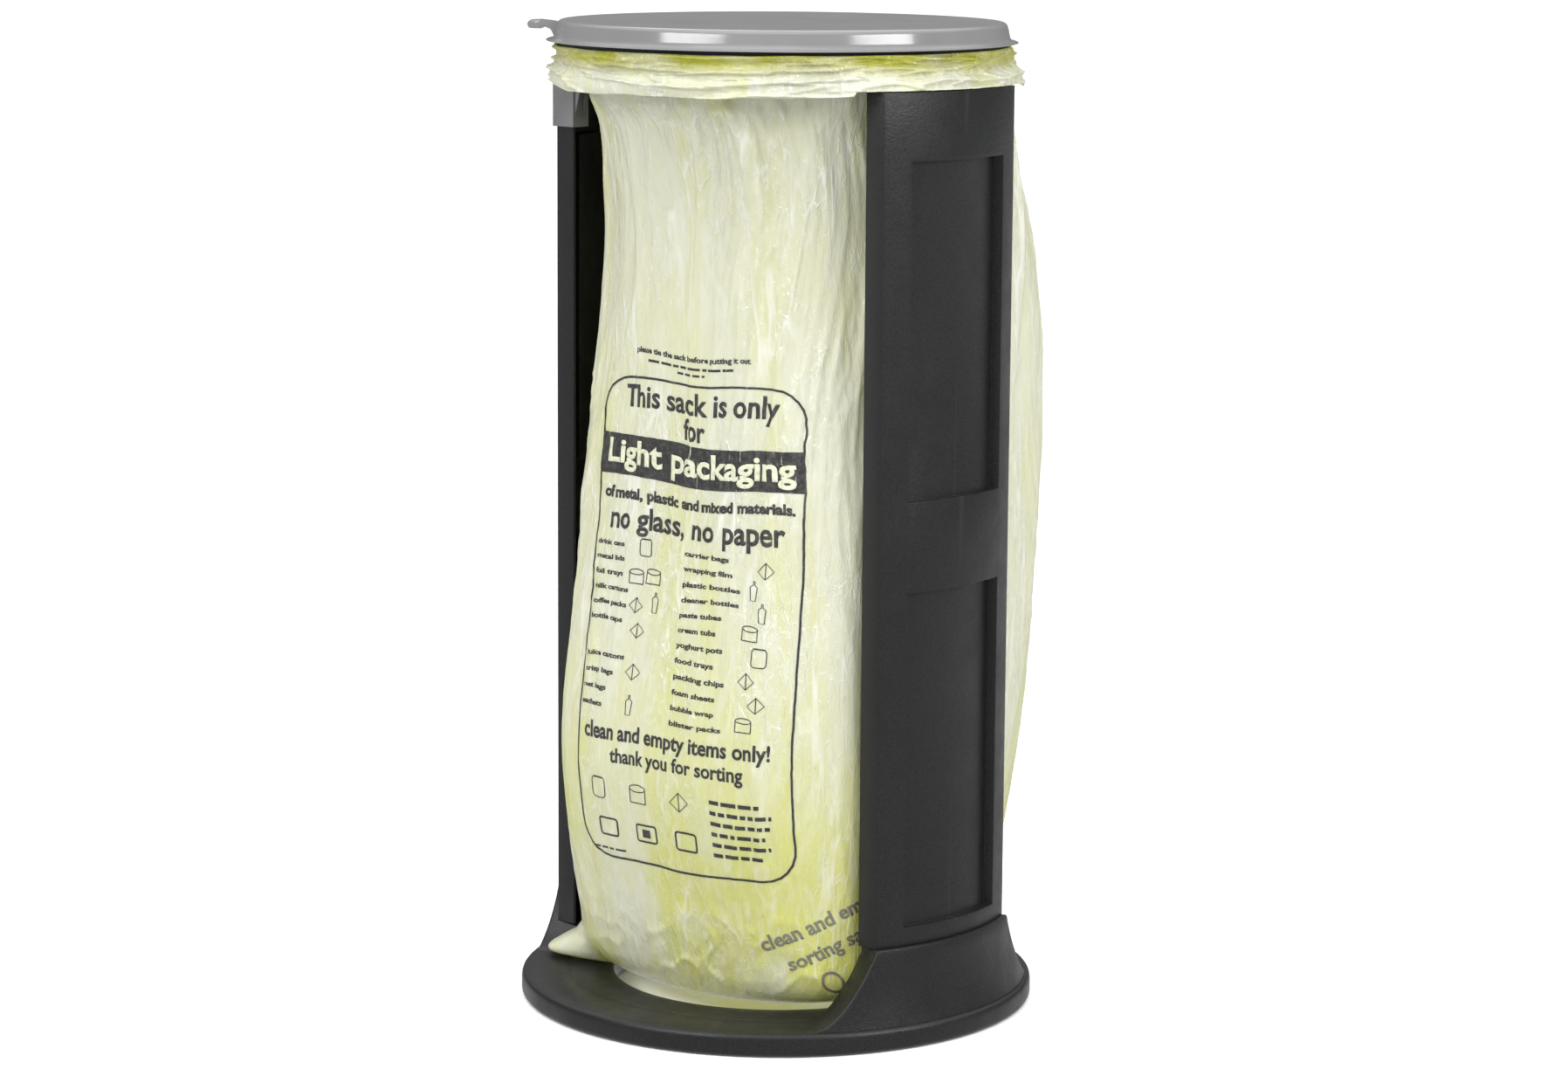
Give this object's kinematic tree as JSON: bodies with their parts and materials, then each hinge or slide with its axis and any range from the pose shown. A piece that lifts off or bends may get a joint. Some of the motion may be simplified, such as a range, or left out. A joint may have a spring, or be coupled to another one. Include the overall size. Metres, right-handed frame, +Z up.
{
  "type": "refuse sack stand",
  "caption": "Free-standing sack stand: open ring base, side panels, a ring that carries an open plastic sack, a clamp ring and a lift-off lid.",
  "frame": {"origin": "on the floor, at the centre of the footprint and on the axis of the rings", "axes": "+Z up along the axis of the rings; the open front faces -Y; the side panels stand at +X and -X"},
  "size_m": [0.436, 0.436, 0.828],
  "materials": {
    "dark_plastic": "fine-grained moulded plastic, anthracite",
    "grey_plastic": "moulded plastic, mid grey",
    "lid_plastic": "smooth satin-gloss plastic, light grey",
    "clamp_plastic": "smooth dark plastic",
    "sack_film": "thin translucent yellow polyethylene film with fine creases",
    "rubber": "matt black rubber",
    "steel": "zinc-plated screws"
  },
  "bodies": {
    "stand": {"base": "dark_plastic", "base_screw_1": "steel", "base_screw_2": "steel", "base_screw_3": "steel", "base_screw_4": "steel", "left_panel": "dark_plastic", "left_panel_plug": "dark_plastic", "left_ring_bracket": "dark_plastic", "right_panel": "dark_plastic", "right_panel_plug": "dark_plastic", "right_ring_bracket": "dark_plastic", "ring_clip_front": "grey_plastic", "ring_clip_rear": "grey_plastic", "ring_screw_1": "steel", "ring_screw_2": "steel", "ring_screw_3": "steel", "ring_screw_4": "steel", "rubber_foot_1": "rubber", "rubber_foot_2": "rubber", "rubber_foot_3": "rubber", "rubber_foot_4": "rubber", "sack": "sack_film", "support_ring": "grey_plastic"},
    "clamp": {"clamp_ring": "clamp_plastic"},
    "lid": {"lid": "lid_plastic"}
  },
  "joints": [
    {"name": "clamp_lift", "type": "slide", "parent": "stand", "child": "clamp", "axis": [0, 0, 1], "range_m": [0, 0.1]},
    {"name": "lid_lift", "type": "slide", "parent": "clamp", "child": "lid", "axis": [0, 0, 1], "range_m": [0, 0.25]}
  ]
}
